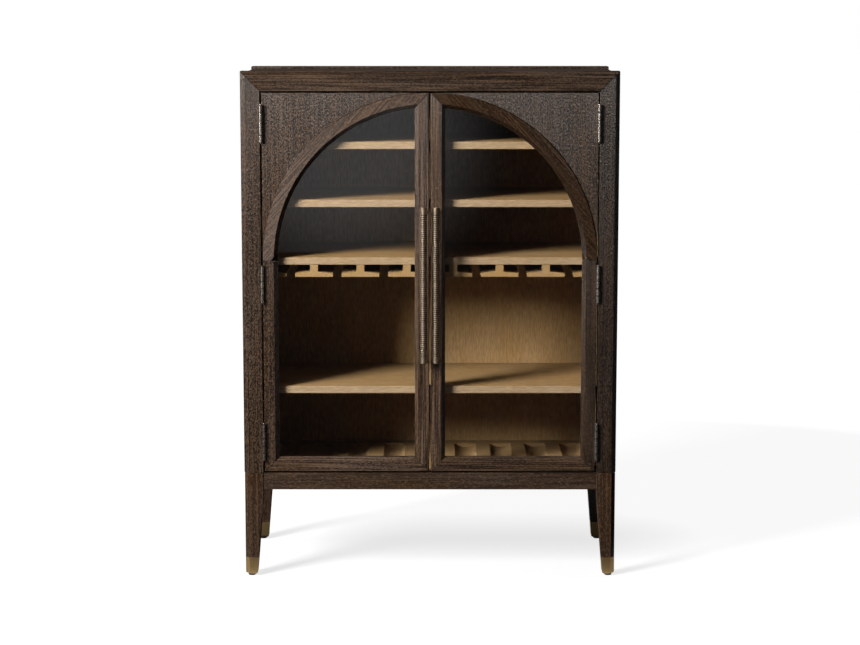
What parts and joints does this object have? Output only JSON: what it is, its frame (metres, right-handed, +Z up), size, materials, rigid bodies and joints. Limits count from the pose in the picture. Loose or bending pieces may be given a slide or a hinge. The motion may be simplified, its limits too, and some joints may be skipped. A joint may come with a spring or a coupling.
{
  "type": "bar cabinet",
  "caption": "Dark oak bar cabinet on tapered brass-tipped legs, with glazed doors under a round arch, light oak shelves, stemware rails and a bottle cradle.",
  "frame": {"origin": "on the floor, under the centre of the overall bounding box", "axes": "+X to the right seen from the front, +Y from the doors to the back, +Z up"},
  "size_m": [1.016, 0.495, 1.381],
  "materials": {
    "dark_oak": "smoked brown oak, matt lacquer, open grain",
    "light_oak": "natural oak, matt lacquer",
    "clear_glass": "clear, polished",
    "antique_brass": "antique brass, satin",
    "hinge_bronze": "dark bronze, satin",
    "screw_steel": "satin steel",
    "black_plastic": "matt black"
  },
  "bodies": {
    "case": {"left_front_post": "dark_oak", "right_front_post": "dark_oak", "left_rear_post": "dark_oak", "right_rear_post": "dark_oak", "front_top_rail": "dark_oak", "rear_top_rail": "dark_oak", "left_side_panel": "dark_oak", "right_side_panel": "dark_oak", "left_side_lining": "light_oak", "right_side_lining": "light_oak", "top_panel": "dark_oak", "ceiling_panel": "light_oak", "back_panel": "light_oak", "bottom_panel": "dark_oak", "bottle_cradle": "light_oak", "top_shelf": "light_oak", "second_shelf": "light_oak", "stemware_shelf": "light_oak", "lower_shelf": "light_oak", "shelf_dividers": "light_oak", "stemware_rails": "light_oak", "shelf_pins": "antique_brass", "left_front_leg": "dark_oak", "right_front_leg": "dark_oak", "left_rear_leg": "dark_oak", "right_rear_leg": "dark_oak", "base_front_rail": "dark_oak", "base_rear_rail": "dark_oak", "base_side_rails": "dark_oak", "leg_ferrules": "antique_brass", "foot_glides": "black_plastic", "case_dowels": "light_oak", "case_hinge_leaves": "hinge_bronze", "case_hinge_screws": "screw_steel", "hinge_pins": "hinge_bronze", "door_catches": "black_plastic"},
    "left_door": {"left_door_hinge_stile": "dark_oak", "left_door_meeting_stile": "dark_oak", "left_door_bottom_rail": "dark_oak", "left_door_arch": "dark_oak", "left_door_spandrel": "dark_oak", "left_door_glass": "clear_glass", "left_door_glass_beads": "dark_oak", "left_door_pull": "antique_brass", "left_door_pull_posts": "antique_brass", "left_door_screws": "screw_steel", "left_door_hinge_leaves": "hinge_bronze", "left_door_strike": "screw_steel"},
    "right_door": {"right_door_hinge_stile": "dark_oak", "right_door_meeting_stile": "dark_oak", "right_door_bottom_rail": "dark_oak", "right_door_arch": "dark_oak", "right_door_spandrel": "dark_oak", "right_door_glass": "clear_glass", "right_door_glass_beads": "dark_oak", "right_door_pull": "antique_brass", "right_door_pull_posts": "antique_brass", "right_door_screws": "screw_steel", "right_door_hinge_leaves": "hinge_bronze", "right_door_strike": "screw_steel"}
  },
  "joints": [
    {"name": "left_door_swing", "type": "hinge", "parent": "case", "child": "left_door", "pos_m": [-0.45275, -0.215, 0.8085], "axis": [0, 0, -1], "range_deg": [0, 170]},
    {"name": "right_door_swing", "type": "hinge", "parent": "case", "child": "right_door", "pos_m": [0.45275, -0.215, 0.8085], "axis": [0, 0, 1], "range_deg": [0, 170]}
  ]
}
